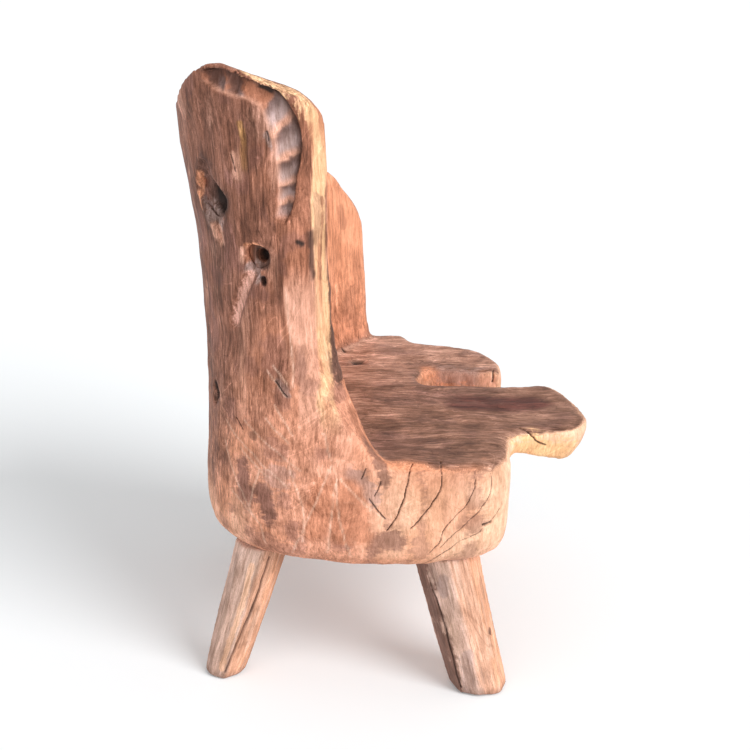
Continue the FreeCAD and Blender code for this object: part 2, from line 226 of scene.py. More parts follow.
# Two branches rotted out of the right wing. For each hole: its middle, the way across the face, and how
# its mouth was pared back, as depth, half width, and course across and up from the middle.
KNOTS = [
    ((-205, -141, 611), (0.6, -0.8, 0), [(6, 12, [(-2, 34), (-10, 12)]), (8, 14, [(-14, 2), (8, -6)]),
                                         (5, 12, [(-4, -18), (6, -27)]), (3, 4, [(9, -32), (18, -50)])]),
    ((-146, -183, 551), (0.91, -0.42, 0), [(4, 8, [(-8, -14), (-4, -20)]), (5, 4, [(6, -23), (7, -28)]),
                                            (5, 13, [(-10, 4), (-1, -2)]), (5, 9, [(-9, 3), (0, -2)]),
                                            (3, 5, [(-4, 1), (0, -2)])]),
]

# Pale scratches, most of them starred out from where the wing's foot meets the block.
SCRATCH_HALF = 0.001
SCRATCHES = [
    [(-65, -209, 305), (-91, -209, 241), (-116, -190, 176)],
    [(-60, -209, 287), (-58, -209, 230), (-43, -203, 186)],
    [(-56, -209, 287), (-26, -210, 254), (-4, -209, 236)],
    [(-62, -209, 280), (-66, -209, 240), (-72, -206, 190)],
    [(-167, -174, 347), (-102, -207, 297)],
    [(-193, -149, 310), (-154, -189, 220)],
    [(-66, -207, 312), (-74, -205, 345)],
    [(-150, -191, 290), (-163, -184, 241)],
    [(-139, -188, 416), (-126, -194, 398), (-117, -199, 387)],
    [(-132, -191, 422), (-116, -198, 403)],
    [(-131, -194, 374), (-110, -202, 340)],
    [(-116, -195, 520), (-110, -198, 447), (-108, -199, 400)],
    [(-116, -204, 302), (-96, -209, 247), (-100, -206, 205)],
    [(-184, -165, 252), (-152, -190, 224), (-146, -187, 190)],
    [(-173, -172, 311), (-138, -197, 283)],
    [(-140, -191, 356), (-116, -202, 330)],
    [(-191, -149, 336), (-159, -183, 310), (-118, -205, 275)],
]


def eased(line):
    """The same course with its corners cut off twice, as a crack bends."""
    line = np.array(line, float)
    for _ in range(2):
        cut = [share * begin + (1 - share) * end
               for begin, end in zip(line[:-1], line[1:]) for share in (0.75, 0.25)]
        line = np.concatenate([line[:1], cut, line[-1:]])
    return line


def by_knot(number, course):
    """A course given across and up from a knot hole's middle, as points in the chair."""
    middle, side, _ = KNOTS[number]
    return [np.array(middle) + np.array(side) * across + np.array([0, 0, rise]) for across, rise in course]


def finer(mesh, near):
    """Smaller faces where near is true, so that a narrow cut has faces to be cut into."""
    work = bmesh.new()
    work.from_mesh(mesh)
    work.verts.ensure_lookup_table()
    edges = [edge for edge in work.edges if near[edge.verts[0].index] and near[edge.verts[1].index]]
    bmesh.ops.subdivide_edges(work, edges=edges, cuts=1, use_grid_fill=True)
    bmesh.ops.triangulate(work, faces=[face for face in work.faces if len(face.verts) > 4])
    work.to_mesh(mesh)
    work.free()


# The crescent round the head of the right wing is read from a point on the wing: how far out, and
# how far round from upright. Its outer wall is steep and its inner side runs out gently.
GROOVE_TURNS = [-10, 0, 10, 17, 27, 38, 48, 59, 71, 81, 97, 114, 126]
GROOVE_OUTER = [104, 106, 107, 105.5, 107, 110, 107.5, 104.5, 99.5, 95.5, 91, 97.5, 103]
GROOVE_INNER = [90, 82, 79, 79, 84, 85, 77, 72, 70.5, 68, 70, 78, 86]
GROOVE_MIDDLE = np.array([-0.190, -0.169, 0.659])
GROOVE_FOOT = 0.55
WING_DEEP = 0.022
WING_TURN = math.radians(19)
WING_ACROSS = np.array([math.cos(WING_TURN), -math.sin(WING_TURN), 0])
WING_INTO = np.array([math.sin(WING_TURN), math.cos(WING_TURN), 0])


def round_groove(points):
    """Place round the crescent: degrees round, share of the way out from its inner edge to its outer
    one, and how far across the wing and up from its middle."""
    across = (points - GROOVE_MIDDLE) @ WING_ACROSS
    rise = points[:, 2] - GROOVE_MIDDLE[2]
    turn = np.degrees(np.arctan2(across, rise))
    inner = np.interp(turn, GROOVE_TURNS, GROOVE_INNER) / 1000
    outer = np.interp(turn, GROOVE_TURNS, GROOVE_OUTER) / 1000
    return turn, (np.hypot(across, rise) - inner) / (outer - inner), across, rise


# Faces are made smaller round all that is cut or drawn fine, out to these distances, and smaller again in
# the cracks and at the crescent's outer wall. The sapwood is crisp only round the middle of its height.
CRACK_SKIRT = 0.007
CRACK_CORE = 0.0035
KNOT_SKIRT = 0.052
SCRATCH_SKIRT = 0.006
SAPWOOD_SKIRT = 0.014
CRISP_MIDDLE = 0.570
CRISP_HALF = 0.065
points = read(mesh)
facing = read(mesh, "normal")
turn, out, _, _ = round_groove(points)
on_wing = ((points - GROOVE_MIDDLE) @ WING_INTO < WING_DEEP) & (points[:, 2] > GROOVE_FOOT)
close = on_wing & (np.abs(out - 0.5) < 0.9) & (turn > -22) & (turn < 137)
for _, _, line in CRACKS:
    close |= from_line(points, eased(line), facing) < CRACK_SKIRT
for middle, _, _ in KNOTS:
    close |= from_line(points, [middle]) < KNOT_SKIRT
for line in SCRATCHES:
    close |= from_line(points, eased(line), facing) < SCRATCH_SKIRT
crisp = np.abs(points[:, 2] - CRISP_MIDDLE) < CRISP_HALF
close |= crisp & (from_line(points, SAPWOOD, facing) < SAPWOOD_SKIRT)
finer(mesh, close)
points = read(mesh)
facing = read(mesh, "normal")
close = np.min([from_line(points, eased(line), facing) for _, _, line in CRACKS], axis=0) < CRACK_CORE
turn, out, _, _ = round_groove(points)
at_wall = (np.abs(out - 0.97) < 0.16) & (turn > 15) & (turn < 110)
close |= at_wall & (points[:, 1] < -0.150) & (points[:, 2] > 0.6)
finer(mesh, close)

# The crescent is cut back to the wing's own face first, as the wood on either side of it gives it,
# then gouged out of it stroke by stroke, and split along the foot of its outer wall.
STROKES = np.array([0, 15, 30, 50, 73, 95, 112, 125])
STROKE_HALVES = np.array([8, 7, 9, 11, 12, 10, 7, 7])
STROKE_SINKS = np.array([8, 8, 0.5, 3.6, 3.6, 3.2, 3, 2.6]) / 1000
GROOVE_DEPTH = 0.0105
SPLIT_DEPTH = 0.006
points = worn(read(mesh), neighbours(mesh), 2, 0.35)
facing = read(mesh, "normal")
turn, out, across, rise = round_groove(points)
into = (points - GROOVE_MIDDLE) @ WING_INTO
terms = np.stack([np.ones(len(points)), across, rise, across**2, across * rise, rise**2], axis=1)
whole = (np.abs(out - 0.5) > 1.0) & (np.abs(out - 0.5) < 1.9) & (turn > -10) & (turn < 140) & (into < 0.015)
whole &= facing @ WING_INTO < -0.8
face = terms @ np.linalg.lstsq(terms[whole], into[whole], rcond=None)[0]
stroke = np.abs(turn[:, None] - STROKES).argmin(axis=1)
off_stroke = np.clip(np.abs(turn - STROKES[stroke]) / STROKE_HALVES[stroke], 0, 1.3)
ends = ramp(turn, -13, -5) * fall(turn, 122, 131)
in_groove = ramp(out, -0.05, 0.1) * fall(out, 0.98, 1.03) * ends
depth = GROOVE_DEPTH * ramp(out, 0.0, 0.6) ** 0.8 * fall(out, 0.93, 1.0) * ends
depth *= 0.55 + 0.45 * ramp(turn, 24, 34)
depth += in_groove * ramp(out, 0.0, 0.3) * STROKE_SINKS[stroke] * (0.6 - off_stroke**2)
split = np.exp(-(((out - 0.985) / 0.05) ** 2)) * ramp(turn, 24, 30) * fall(turn, 92, 108)
split *= 0.7 + 0.5 * fall(np.abs(turn - 34), 4, 10)
depth += SPLIT_DEPTH * split
reworked = ramp(out, -0.9, -0.6) * fall(out, 1.06, 1.22) * ramp(turn, -21, -14) * fall(turn, 133, 141)
reworked *= 1 - ramp(facing[:, 2], 0.35, 0.6) * ramp(out, 0.8, 0.95)
reworked *= (np.abs(into - face) < 0.020) & (points[:, 2] > GROOVE_FOOT)
in_groove = in_groove * (reworked > 0)
split = split * (reworked > 0)
points = points + WING_INTO * (reworked * (face + depth - into))[:, None]
write(mesh, points)


# The adze leaves long shallow facets down the outside; the gouge leaves rounder cups in the hollow.
def rough(points, size, seed):
    """Smooth unevenness between -1 and 1, about as broad as the size given."""
    cells = 32
    table = np.random.default_rng(seed).uniform(-1, 1, (cells, cells, cells))
    place = points / np.asarray(size)
    cell = np.floor(place).astype(int)
    part = place - cell
    part = part * part * (3 - 2 * part)
    total = np.zeros(len(points))
    for corner in np.ndindex(2, 2, 2):
        weight = np.prod(np.where(corner, part, 1 - part), axis=1)
        total += weight * table[tuple(((cell + corner) % cells).T)]
    return total


def drift(points, size, seed):
    """The same unevenness in all three directions, from three seeds in a row."""
    return np.stack([rough(points, size, seed + step) for step in range(3)], axis=1)


def cups(points, size, seed):
    """Overlapping tool cuts: 0 in the middle of a cut to 1 on a ridge, and each cut's own tone, -1 to 1."""
    cells = 16
    table = np.random.default_rng(seed).uniform(0.1, 0.9, (cells, cells, cells, 4))
    place = points / np.asarray(size)
    cell = np.floor(place).astype(int)
    nearest = np.full(len(points), 9.0)
    tone = np.zeros(len(points))
    for step in np.ndindex(3, 3, 3):
        there = cell + np.array(step) - 1
        cut = table[tuple((there % cells).T)]
        away = ((place - there - cut[:, :3]) ** 2).sum(axis=1)
        tone = np.where(away < nearest, 2.5 * cut[:, 3] - 1.25, tone)
        nearest = np.minimum(nearest, away)
    return np.minimum(nearest, 1), tone


HOLLOW_MIDDLE = np.array([0.03, -0.005])
SEAT_BEGINS = (0.27, 0.29)
SEAT_ENDS = (0.315, 0.335)
facing = read(mesh, "normal")
edges = neighbours(mesh)
x, y, z = points.T
inward = ((HOLLOW_MIDDLE - points[:, :2]) * facing[:, :2]).sum(axis=1)
inward /= np.linalg.norm(points[:, :2] - HOLLOW_MIDDLE, axis=1) + 0.001
on_seat = ramp(facing[:, 2], 0.55, 0.85) * ramp(z, *SEAT_BEGINS) * fall(z, *SEAT_ENDS)
in_hollow = ramp(inward, 0.0, 0.35) * ramp(z, 0.300, 0.325) * (1 - on_seat) * (1 - in_groove)
in_hollow *= 1 - ramp(facing[:, 2], 0.4, 0.7) * ramp(z, 0.66, 0.70)
outside = (1 - on_seat) * (1 - in_hollow)
on_seat, in_hollow, outside = worn(np.stack([on_seat, in_hollow, outside], axis=1), edges, 4, 0.5).T

# Tool marks by where they are: depth, size of a cut, and seed. Under them the log itself is uneven.
sway = points + 0.008 * drift(points, 0.05, 8)
lift = 0.0016 * rough(points, 0.09, 3) + 0.0008 * rough(points, (0.02, 0.02, 0.04), 4)
lift += 0.0003 * rough(points, (0.006, 0.006, 0.012), 14)
tone = np.zeros(len(points))
for where, depth, size, seed in ((outside, 0.0024, (0.030, 0.030, 0.066), 5),
                                 (in_hollow, 0.0026, (0.034, 0.034, 0.044), 6),
                                 (on_seat, 0.0016, (0.075, 0.034, 0.034), 7)):
    height, cut_tone = cups(sway, size, seed)
    lift += where * (1 - in_groove) * depth * (height - 0.4)
    tone += where * (1 - in_groove) * cut_tone

# Broad swellings at the long lobe's end, under the block and at the crown, the trough gouged below the
# lower knot hole, and the arris between the two long facets of the right wing.
LOBE_END = [(205, 45, 285), (232, 15, 285), (243, -35, 285), (238, -75, 285)]
LOBE_END_SWELL = 0.0055
UNDERSIDE = [(-30, -190, 170), (60, -190, 170)]
UNDERSIDE_SWELL = 0.0045
CROWN_SWELL = 0.0030
TROUGH = [(-152, -181, 538), (-158, -177, 524), (-164, -172, 510), (-171, -166, 492), (-178, -160, 466)]
TROUGH_DEPTH = 0.0065
ARRIS = [(-107, -195, 596), (-117, -194, 558), (-120, -193, 513), (-118, -194, 490), (-109, -197, 447)]
ARRIS_HEIGHT = 0.0022
lift += LOBE_END_SWELL * beside(points, LOBE_END, full=0.008, none=0.045) * (1 - on_seat)
lift += UNDERSIDE_SWELL * beside(points, UNDERSIDE, full=0.010, none=0.050)
lift += CROWN_SWELL * ramp(z, 0.68, 0.74) * fall(x, -0.17, -0.12) * (1 - in_groove) * (1 - in_hollow)
lift -= TROUGH_DEPTH * beside(points, TROUGH, full=0.003, none=0.010)
lift += ARRIS_HEIGHT * beside(points, ARRIS, full=0, none=0.014)

# The cracks wander a little off their courses. Painted shade darkens them, the split, a gap at the
# crescent's head, and the depths of the knot holes.
wander = np.stack([0.0013 * rough(points, 0.012, seed) + 0.0005 * rough(points, 0.004, seed + 40)
                   for seed in (11, 12, 13)], axis=1)
dark = np.maximum(split, in_groove * ramp(out, 0.58, 0.7) * ramp(turn, 27, 30) * fall(turn, 37, 40))
for width, depth, line in CRACKS:
    away = from_line(points + wander, eased(line), facing) * 1000 / width
    lift -= np.exp(-(away**2)) * depth / 1000
    dark = np.maximum(dark, np.exp(-((away / 1.15) ** 4)))
for number, (middle, side, parings) in enumerate(KNOTS):
    inwards = np.array([-side[1], side[0], 0])
    for depth, width, course in parings:
        away = from_line(points + wander, by_knot(number, course), facing) * 1000
        lift -= depth / 1000 * fall(away, 0.35 * width, width) * fall(facing @ inwards, -0.7, -0.4)
    # Painted shade: the wood deep in each knot hole is darkened.
    hole = points * 1000 - np.array(middle)
    deep = hole @ inwards + 0.25 * (hole @ np.array(side))
    dark = np.maximum(dark, fall(np.linalg.norm(hole, axis=1), 32, 40) * ramp(deep, 9, 18))
away = np.min([from_line(points + wander, eased(line), facing) for line in SCRATCHES], axis=0)
pale = np.exp(-((away / SCRATCH_HALF) ** 2))
points = points + facing * (lift * off_joints(points))[:, None]

# The long lobe ends in a full curve, a little outside the straight slope it was sawn to.
LOBE_SLOPE = np.array([0.208, -0.010])
LOBE_OUT = np.array([0.908, 0.419])
LOBE_ALONG = np.array([-0.419, 0.908])
LOBE_HALF = 0.064
LOBE_FULLNESS = 0.0105
fuller = np.maximum(1 - ((points[:, :2] - LOBE_SLOPE) @ LOBE_ALONG / LOBE_HALF) ** 2, 0)
fuller *= ramp((points[:, :2] - LOBE_SLOPE) @ LOBE_OUT, -0.055, 0.0) * ramp(z, 0.20, 0.22)
points[:, :2] += LOBE_FULLNESS * fuller[:, None] * LOBE_OUT
write(mesh, points)


# The wood's colours: brown weathered outside, paler sapwood at the rims, orange in the hollow.
def shade(red, green, blue):
    """A colour as seen, given as the linear values that the wood is stained with."""
    seen = np.array([red, green, blue]) / 255
    return np.where(seen <= 0.04045, seen / 12.92, ((seen + 0.055) / 1.055) ** 2.4)


def all_over(colour, points):
    return np.tile(colour, (len(points), 1))


def blend(colour, into, amount):
    """One colour drawn towards another, by one amount or by each point's own."""
    amount = np.clip(amount, 0, 1)
    if amount.ndim:
        amount = amount[:, None]
    return colour * (1 - amount) + into * amount


BROWN = shade(150, 98, 77)
UMBER = shade(112, 76, 64)
PLUM = shade(136, 90, 80)
RUSSET = shade(200, 130, 98)
CLAY = shade(226, 158, 128)
PEACH = shade(248, 196, 162)
ROSE = shade(236, 176, 150)
STRAW = shade(246, 194, 148)
ORANGE = shade(242, 164, 124)
ASH = shade(150, 126, 122)
PEWTER = shade(166, 138, 130)
MOSS = shade(172, 124, 56)
# Near black, used for painted shade in cracks and holes.
DEEP_SHADE = shade(44, 30, 26)
SEAT_BROWN = shade(149, 108, 88)
SEAT_FADED = shade(204, 156, 134)
SEAT_DARK = shade(84, 40, 30)
SCOOP_SHADE = shade(116, 90, 84)
SCOOP_GREY = shade(186, 158, 152)
TROUGH_PINK = shade(222, 166, 146)
TONGUE_GOLD = shade(246, 192, 138)
SCRATCH_PALE = shade(246, 204, 180)

ragged = rough(points, (0.006, 0.006, 0.034), 21) + 0.6 * rough(points, (0.0035, 0.0035, 0.014), 22)
lying_ragged = rough(points, (0.07, 0.009, 0.009), 26) + 0.6 * rough(points, (0.025, 0.005, 0.005), 27)
ragged = ragged * (1 - on_seat) + lying_ragged * on_seat
patchy = rough(points, (0.05, 0.05, 0.12), 23) + 0.5 * rough(points, (0.02, 0.02, 0.05), 24)
polished = facing[:, 2] + 0.25 * rough(points, 0.020, 28) + 0.14 * rough(points, 0.008, 30)
patina = ramp(polished, 0.55, 0.8) * ramp(z, *SEAT_BEGINS) * fall(z, *SEAT_ENDS)
patina *= ramp(y + 0.006 * patchy + 0.012 * ramp(x, 0.03, 0.06), -0.194, -0.174)
wood = all_over(BROWN, points)
wood = blend(wood, RUSSET, 0.38 * ramp(patchy + 0.3 * ragged, 0.0, 0.8))
wood = blend(wood, UMBER, 0.5 * fall(patchy - 0.3 * ragged, -0.9, -0.15))

# The block is paler than the back, most of all on its near side and in front under the seat.
rear_corner = 0.8 * fall(x, -0.20, -0.165) * ramp(z + 0.02 * patchy, 0.20, 0.25)
near_side = fall(y, -0.12, 0.0) * (1 - rear_corner)
wood = blend(wood, CLAY, (0.25 + 0.65 * near_side) * outside * fall(z - 0.08 * patchy, 0.32, 0.47))
wood = blend(wood, PEACH, 0.5 * outside * fall(x, -0.19, -0.15) * fall(z, 0.22, 0.27) * near_side)
low_front = outside * fall(z - 0.015 * patchy, 0.285, 0.335) * ramp(x + 0.02 * patchy, -0.06, 0.05)
low_front *= 0.45 + 0.55 * fall(y - 0.03 * patchy, -0.10, 0.05)
wood = blend(wood, PEACH, 0.9 * low_front)
wood = blend(wood, ORANGE, 0.8 * on_seat * fall(y, -0.18, -0.14))
flushed = ramp(rough(points, 0.040, 56), 0.0, 0.5)
wood = blend(wood, ORANGE, 0.4 * outside * fall(z, 0.30, 0.36) * flushed)
wood = blend(wood, RUSSET, 0.5 * low_front * ramp(z + 0.006 * patchy, 0.264, 0.290))
wood = blend(wood, RUSSET, 0.45 * outside * fall(z, 0.170, 0.19))

# Two long facets hewn up the right wing are redder than the wood left of each. The left edge of each
# is given as heights, and the place along x at each height.
LEFT_FACET_HEIGHTS = [0.315, 0.350, 0.385, 0.406, 0.438, 0.479, 0.490]
LEFT_FACET_EDGE = [-0.184, -0.177, -0.174, -0.168, -0.153, -0.143, -0.135]
RIGHT_FACET_HEIGHTS = [0.350, 0.400, 0.447, 0.490, 0.513, 0.558, 0.596]
RIGHT_FACET_EDGE = [-0.104, -0.104, -0.109, -0.118, -0.120, -0.117, -0.107]
past_edge = x - np.interp(z, LEFT_FACET_HEIGHTS, LEFT_FACET_EDGE)
left_of_it = fall(past_edge, -0.004, 0.0) * outside * fall(y, -0.10, -0.02)
left_of_it *= ramp(z + 0.012 * patchy, 0.26, 0.31)
wood = blend(wood, BROWN, 0.5 * left_of_it * fall(z, 0.46, 0.53))
facet = ramp(past_edge, 0.0, 0.004) * outside * fall(facing[:, 1], -0.6, -0.3) * ramp(z, 0.30, 0.36)
wood = blend(wood, RUSSET, 0.35 * facet * fall(z - 0.008 * patchy, 0.475, 0.500))
past_edge = x - np.interp(z, RIGHT_FACET_HEIGHTS, RIGHT_FACET_EDGE)
facet = ramp(past_edge, 0.0, 0.004) * outside * fall(facing[:, 1], -0.7, -0.4) * ramp(z, 0.32, 0.38)
wood = blend(wood, RUSSET, 0.35 * facet * fall(z, 0.57, 0.60))
wood = blend(wood, ROSE, 0.7 * facet * fall(z - 0.012 * patchy, 0.500, 0.540))

# The sapwood is straw with red threads in it, and the hollow orange, redder low down.
sapwood = beside(points, SAPWOOD, full=0.0095, none=0.0125, facing=facing)
sapwood *= ramp(z + 0.01 * patchy, 0.335, 0.400)
wood = blend(wood, STRAW, 0.9 * sapwood)
wood = blend(wood, RUSSET, 0.75 * sapwood * ramp(rough(points, (0.006, 0.006, 0.09), 57), 0.15, 0.5))
wood = blend(wood, ORANGE * 0.92, in_hollow * (0.9 + 0.2 * patchy))
wood = blend(wood, RUSSET, in_hollow * (0.45 * fall(z, 0.33, 0.46) + 0.4 * ramp(patchy, 0.3, 0.8)))
mottled = rough(points, (0.016, 0.016, 0.08), 58) + 0.5 * patchy
wood = blend(wood, RUSSET * 0.75, 0.4 * in_hollow * ramp(mottled, 0.2, 0.8))

# Sitting has polished the seat brown. It fades to the far side, and a dark oval lies on the long lobe.
OVAL = [(96, -18, 300), (141, -20, 300), (180, -16, 300)]
oval = fall(from_line(points, OVAL) - 0.004 * lying_ragged, 0.012, 0.034)
wood = blend(wood, SEAT_BROWN, patina)
wood = blend(wood, SEAT_FADED, patina * 0.8 * ramp(y + 0.02 * patchy, 0.05, 0.13))
wood = blend(wood, UMBER, patina * 0.6 * ramp(patchy + 0.4 * ragged, 0.1, 0.8))
wood = blend(wood, SEAT_DARK, 0.95 * patina * oval)
wood = blend(wood, PEACH, 0.9 * ramp(x, 0.10, 0.15) * (1 - patina) * ramp(z, 0.2, 0.23))

# The crescent's scoops are painted with shade where each begins, then grey, and pinkish where it runs out,
# partly a painted highlight. The two at its head are dark, then comes a flap of brown wood. Painted shade
# darkens all towards the steep outer wall and along the borders between scoops, and the inner edge is
# pink, partly a painted highlight.
FLAP_TURN = 30
wobble = turn + 2.2 * rough(points, 0.008, 25) + 1.2 * rough(points, 0.003, 29) + 6 * (out - 0.5)
painted = np.abs(wobble[:, None] - STROKES).argmin(axis=1)
along = (wobble - STROKES[painted]) / STROKE_HALVES[painted]
head = fall(wobble, 20, 25)
scoop_shading = blend(all_over(SCOOP_SHADE, points), SCOOP_GREY, ramp(along, -0.9, 0.0))
scoop_shading = blend(scoop_shading, ROSE, ramp(along, 0.2, 0.75))
scoop_shading = blend(scoop_shading, UMBER, head)
scoop_shading = blend(scoop_shading, ASH, 0.8 * head * ramp(along, -0.2, 0.6) * fall(out, 0.35, 0.7))
scoop_shading = blend(scoop_shading, RUSSET, 0.7 * head * ramp(np.abs(along), 0.75, 1.0))
scoop_shading = blend(scoop_shading, RUSSET * 0.75, fall(np.abs(wobble - FLAP_TURN), 8, 11))
scoop_shading = blend(scoop_shading, ROSE, 0.7 * fall(out, 0.06, 0.22))
scoop_shading = blend(scoop_shading, UMBER * 0.8, 0.85 * ramp(out + 0.06 * ragged, 0.70, 0.92))
scoop_shading = blend(scoop_shading, UMBER, 0.5 * ramp(np.abs(along), 0.85, 1.05) * ramp(wobble, 36, 44))
wood = worn(blend(wood, scoop_shading, 0.95 * in_groove), edges, 2, 0.4 * in_groove)

# Stains follow the growth, and a few marks here are painted shade and painted light, as noted at each:
# colour, half width in mm, strength, and course.
STAINS_AND_SHADING = [
    (UMBER * 1.1, 12, 0.8, by_knot(0, [(-1, 34), (-6, 12)])),
    # The hole's own dark brown, with painted shade in its depth.
    (UMBER, 14, 0.9, by_knot(0, [(-6, 2), (10, -6)])),
    # Painted light: the hole's left wall, where it faces the light, orange.
    (ORANGE, 3.5, 0.8, by_knot(0, [(-15, 20), (-22, 6)])),
    (ORANGE, 3, 0.8, by_knot(0, [(-24, -3), (-19, -22)])),
    (PEWTER, 11, 0.85, by_knot(0, [(-2, -19), (8, -28)])),
    (ROSE, 4, 0.9, by_knot(0, [(4, -38), (8, -46)])),
    (ROSE, 4, 0.9, by_knot(0, [(14, -36), (18, -52)])),
    (RUSSET * 0.6, 8, 0.8, by_knot(1, [(-11, 6), (-9, -6)])),
    # Painted shade round the pit of the lower hole.
    (DEEP_SHADE, 6, 0.75, by_knot(1, [(2, 2), (4, -8)])),
    (ORANGE, 2, 0.7, by_knot(1, [(-17, 13), (-4, 15), (4, 12)])),
    (ROSE, 2, 0.7, by_knot(1, [(-22, 8), (-22, -8)])),
    (PEWTER, 7, 0.8, by_knot(1, [(-9, -15), (-5, -21)])),
    (MOSS, 3.5, 0.5, [(-163, -183, 706), (-160, -182, 684)]),
    (MOSS, 3, 0.4, [(-161, -182, 676), (-160, -181, 655)]),
    (ROSE, 4, 0.6, [(-172, -175, 668), (-168, -176, 645)]),
    (PEWTER, 4, 0.7, [(-131, -190, 694), (-129, -191, 684)]),
    (PEWTER, 9, 0.6, [(76, 92, 290), (120, 87, 288)]),
    (ROSE, 6, 0.6, [(126, 87, 288), (137, 84, 286)]),
    (STRAW, 8, 0.85, [(-150, -176, 766), (-122, -178, 758), (-100, -178, 741), (-84, -177, 714)]),
    (UMBER * 0.6, 10, 0.9, [(-64, -152, 540), (-63, -156, 515), (-60, -162, 470), (-57, -169, 432),
                            (-53, -174, 408)]),
    (RUSSET * 0.7, 7, 0.7, [(-42, -177, 361), (-35, -188, 340), (-23, -191, 323)]),
    (UMBER * 0.9, 6, 0.7, [(-22, -190, 328), (-14, -197, 313), (-6, -205, 297), (-3, -209, 284)]),
    (TROUGH_PINK, 5.5, 1.0, TROUGH[1:]),
    # Painted shade along the right wall of the trough.
    (UMBER, 2, 0.6, np.array(TROUGH[1:]) + np.array([7, -4, 0])),
    (PLUM, 12, 0.4, [(-132, -190, 445), (-127, -193, 425)]),
    (ASH * 0.9, 4, 0.6, [(-125, -194, 404), (-116, -199, 391)]),
    (PLUM, 9, 0.35, [(-90, -202, 402)]),
    (PLUM * 0.85, 8, 0.7, [(-170, -176, 292), (-168, -180, 256)]),
    (PLUM * 0.7, 9, 0.75, [(-146, -193, 264), (-140, -196, 232)]),
    (PLUM, 7, 0.5, [(-113, -205, 224), (-112, -205, 214)]),
    (PLUM, 9, 0.6, [(-53, -207, 202)]),
    (ASH, 14, 0.4, [(-128, -201, 286)]),
    (PLUM * 0.8, 12, 0.65, [(-12, -207, 205), (8, -208, 207)]),
    (ASH, 9, 0.5, [(-38, -209, 290), (-17, -210, 262)]),
    (PLUM, 13, 0.5, [(101, -208, 230)]),
    (RUSSET, 11, 0.8, [(-77, -210, 274), (-84, -209, 221)]),
    (RUSSET, 11, 0.8, [(-55, -210, 274), (-53, -208, 214)]),
    (RUSSET, 10, 0.8, [(-42, -210, 274), (-30, -208, 214)]),
    (TONGUE_GOLD, 19, 0.85, [(166, -109, 272), (195, -100, 264), (224, -81, 256)]),
    (ORANGE, 8, 0.6, [(53, 91, 293)]),
    (RUSSET * 0.6, 11, 0.4, [(-47, 178, 368), (-50, 173, 340), (-40, 186, 328)]),
    (RUSSET * 0.7, 6, 0.5, [(-60, 168, 492), (-56, 173, 470)]),
    (RUSSET * 0.6, 1.6, 0.8, [(-75, -172, 618), (-76, -175, 569), (-77, -177, 523)]),
    (UMBER * 0.6, 2.6, 0.9, [(-88, -186, 582), (-87, -186, 556), (-86, -186, 530)]),
    # Painted shade in two holes low on the wing.
    (DEEP_SHADE, 5, 0.5, [(-157, -182, 330)]),
    (DEEP_SHADE, 5, 0.9, [(-205, -124, 370), (-202, -129, 363), (-203, -126, 355)]),
]


def stain_and_shade_reach(points, line, width, facing):
    """How far stains and painted shade and light reach: fully by the course, none at about twice the half
    width.
    """
    return np.clip(1.5 - from_line(points, line, facing) * 1000 / (1.25 * width), 0, 1)


# Broad clouds of stains come first: colour, strength, where, size and seed. The drawn stains and the
# painted shade and light lie over them.
stained_and_shaded_wood = wood.copy()
stain_and_shade = np.zeros(len(points))
for colour, strength, where, size, seed in ((PLUM, 0.42, outside, (0.020, 0.020, 0.032), 52),
                                            (ROSE, 0.22, outside, (0.014, 0.014, 0.060), 54),
                                            (UMBER, 0.50, on_seat, (0.060, 0.018, 0.018), 53)):
    reach = where * (1 - in_groove) * np.clip(0.55 + 1.6 * (rough(points, size, seed) - 0.42), 0, 1)
    stained_and_shaded_wood = np.where((reach > stain_and_shade)[:, None], blend(wood, colour, strength), stained_and_shaded_wood)
    stain_and_shade = np.maximum(stain_and_shade, reach)
for colour, width, strength, line in STAINS_AND_SHADING:
    reach = stain_and_shade_reach(points, line, width, facing) * (1 - in_groove)
    over = (reach > 0.2) & (reach > stain_and_shade - 0.5)
    stained_and_shaded_wood = np.where(over[:, None], blend(wood, colour, strength), stained_and_shaded_wood)
    stain_and_shade = np.maximum(stain_and_shade, reach)
stained_and_shaded_wood = np.where(stain_and_shade[:, None] > 0, worn(stained_and_shaded_wood, edges, 2, 0.5), stained_and_shaded_wood)

# Wear shows most on dark wood, and changes its green and blue more than its red.
most_on_dark = np.interp(wood.mean(axis=1), [0.2, 0.4], [1.15, 0.6])
wear = ((0.17 + 0.12 * on_seat) * ragged + 0.13 * tone) * most_on_dark
wear = np.maximum(1 + wear, 0.2)
wear = wear[:, None] ** np.array([1, 1.15, 1.3])


def marked(colour):
    """The colour as it is worn, with the scratches and then the painted shade of cracks and holes over it.
    """
    scratched = blend(colour * wear, SCRATCH_PALE, 0.55 * pale)
    return blend(scratched, DEEP_SHADE, 0.94 * dark)


wood = marked(wood)
stained_and_shaded_wood = marked(stained_and_shaded_wood)

# The log's grain runs upright in the back, shortens to mottling in the block, and lies along the seat.
MOTTLED_BELOW = 0.42
upright = points + 0.004 * drift(points, 0.05, 31)
into_block = np.maximum(MOTTLED_BELOW - z, 0)
upright[:, 2] -= 3 * into_block**2 / (into_block + 0.12)
wavy = points + 0.016 * drift(points, (0.10, 0.06, 0.06), 34)
wavy[:, 0] *= 1.7
growth = np.where(patina[:, None] > 0.5, wavy[:, [2, 1, 0]], upright)

DARKEST = 0.004
LIGHTEST = 0.95


def paint(mesh, name, kind, values):
    mesh.attributes.new(name, kind, "POINT")
    field = {"FLOAT_COLOR": "color", "FLOAT_VECTOR": "vector", "FLOAT": "value"}[kind]
    mesh.attributes[name].data.foreach_set(field, np.ascontiguousarray(values, np.float32).ravel())


